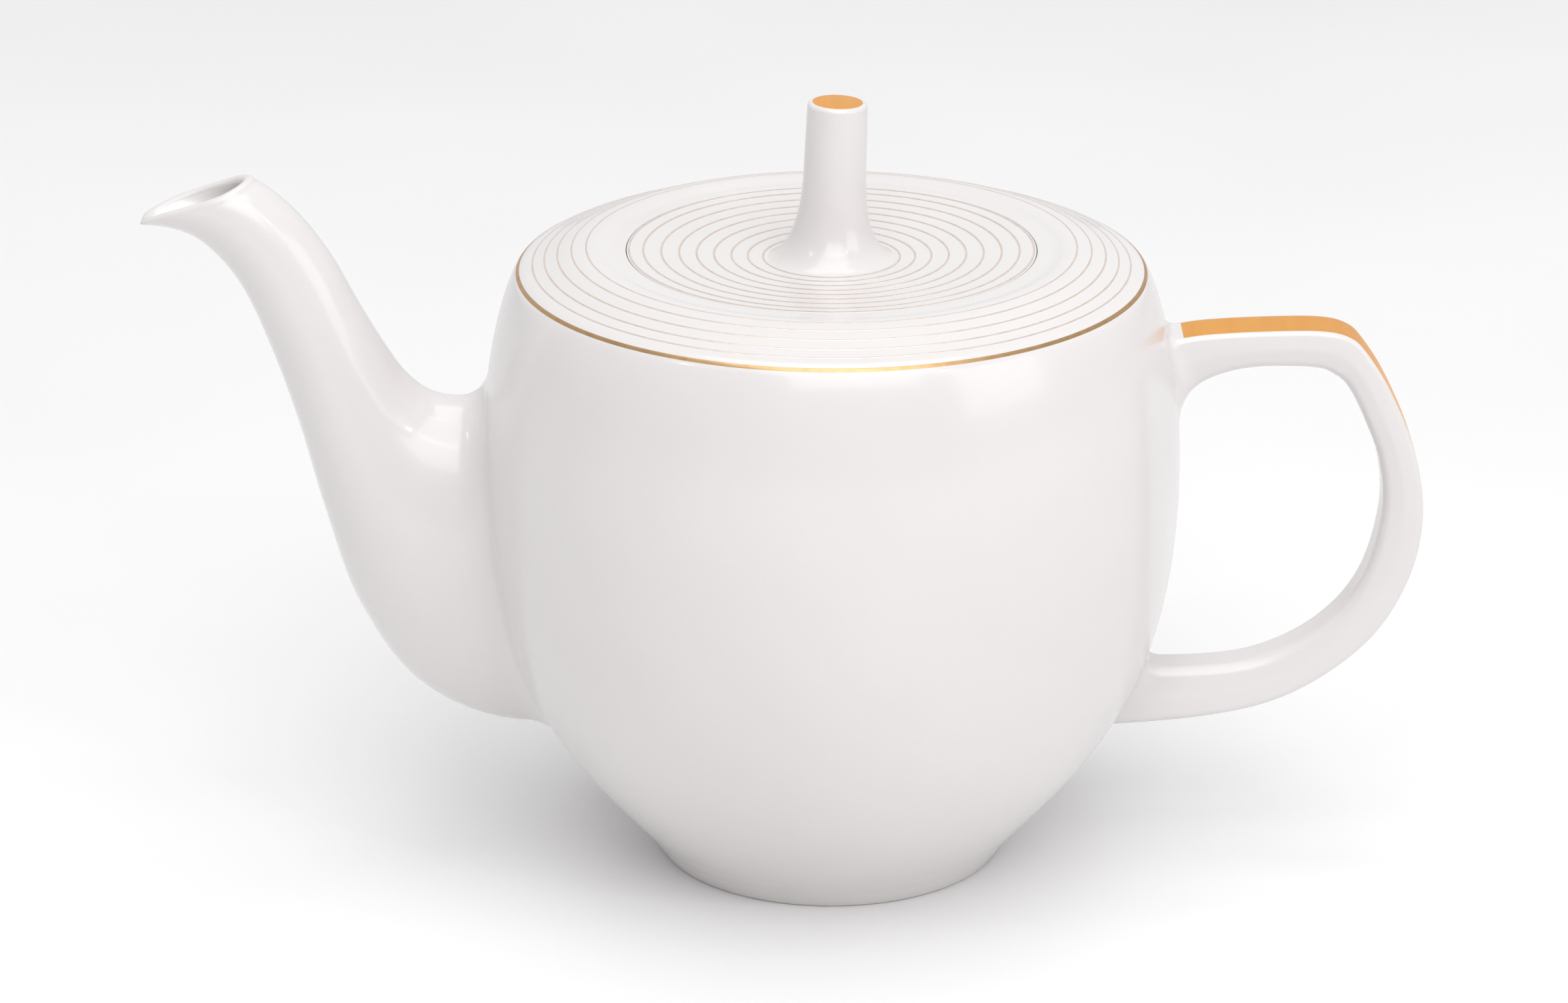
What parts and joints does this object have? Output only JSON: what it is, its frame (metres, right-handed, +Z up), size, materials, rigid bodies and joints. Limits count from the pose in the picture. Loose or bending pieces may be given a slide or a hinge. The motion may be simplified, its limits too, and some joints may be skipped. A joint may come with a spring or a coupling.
{
  "type": "teapot",
  "caption": "Round white porcelain teapot with a tall beaked spout, a looped handle and an inset lid that lifts off, ringed with fine gold lines.",
  "frame": {"origin": "middle of the foot's resting face", "axes": "+Z up along the pot's axis, the spout towards -X and the handle towards +X"},
  "size_m": [0.2373, 0.13, 0.1462],
  "materials": {
    "china": "clear gloss glaze on white bone china",
    "foot": "glazed side with an unglazed resting face",
    "gold": "bright burnished gilding",
    "hairline_gold": "fine satin gilt lines"
  },
  "bodies": {
    "pot": {"pot_body": "china", "foot_ring": "foot", "spout": "china", "handle": "china", "edge_gilding": "gold", "shoulder_rings": "hairline_gold", "handle_gilding": "gold"},
    "cover": {"lid": "china", "lid_collar": "china", "lid_lug": "china", "lid_knob": "china", "lid_rings": "hairline_gold", "knob_gilding": "gold"}
  },
  "joints": [
    {"name": "lid_lift", "type": "slide", "parent": "pot", "child": "cover", "axis": [0, 0, 1], "range_m": [0, 0.06]}
  ]
}
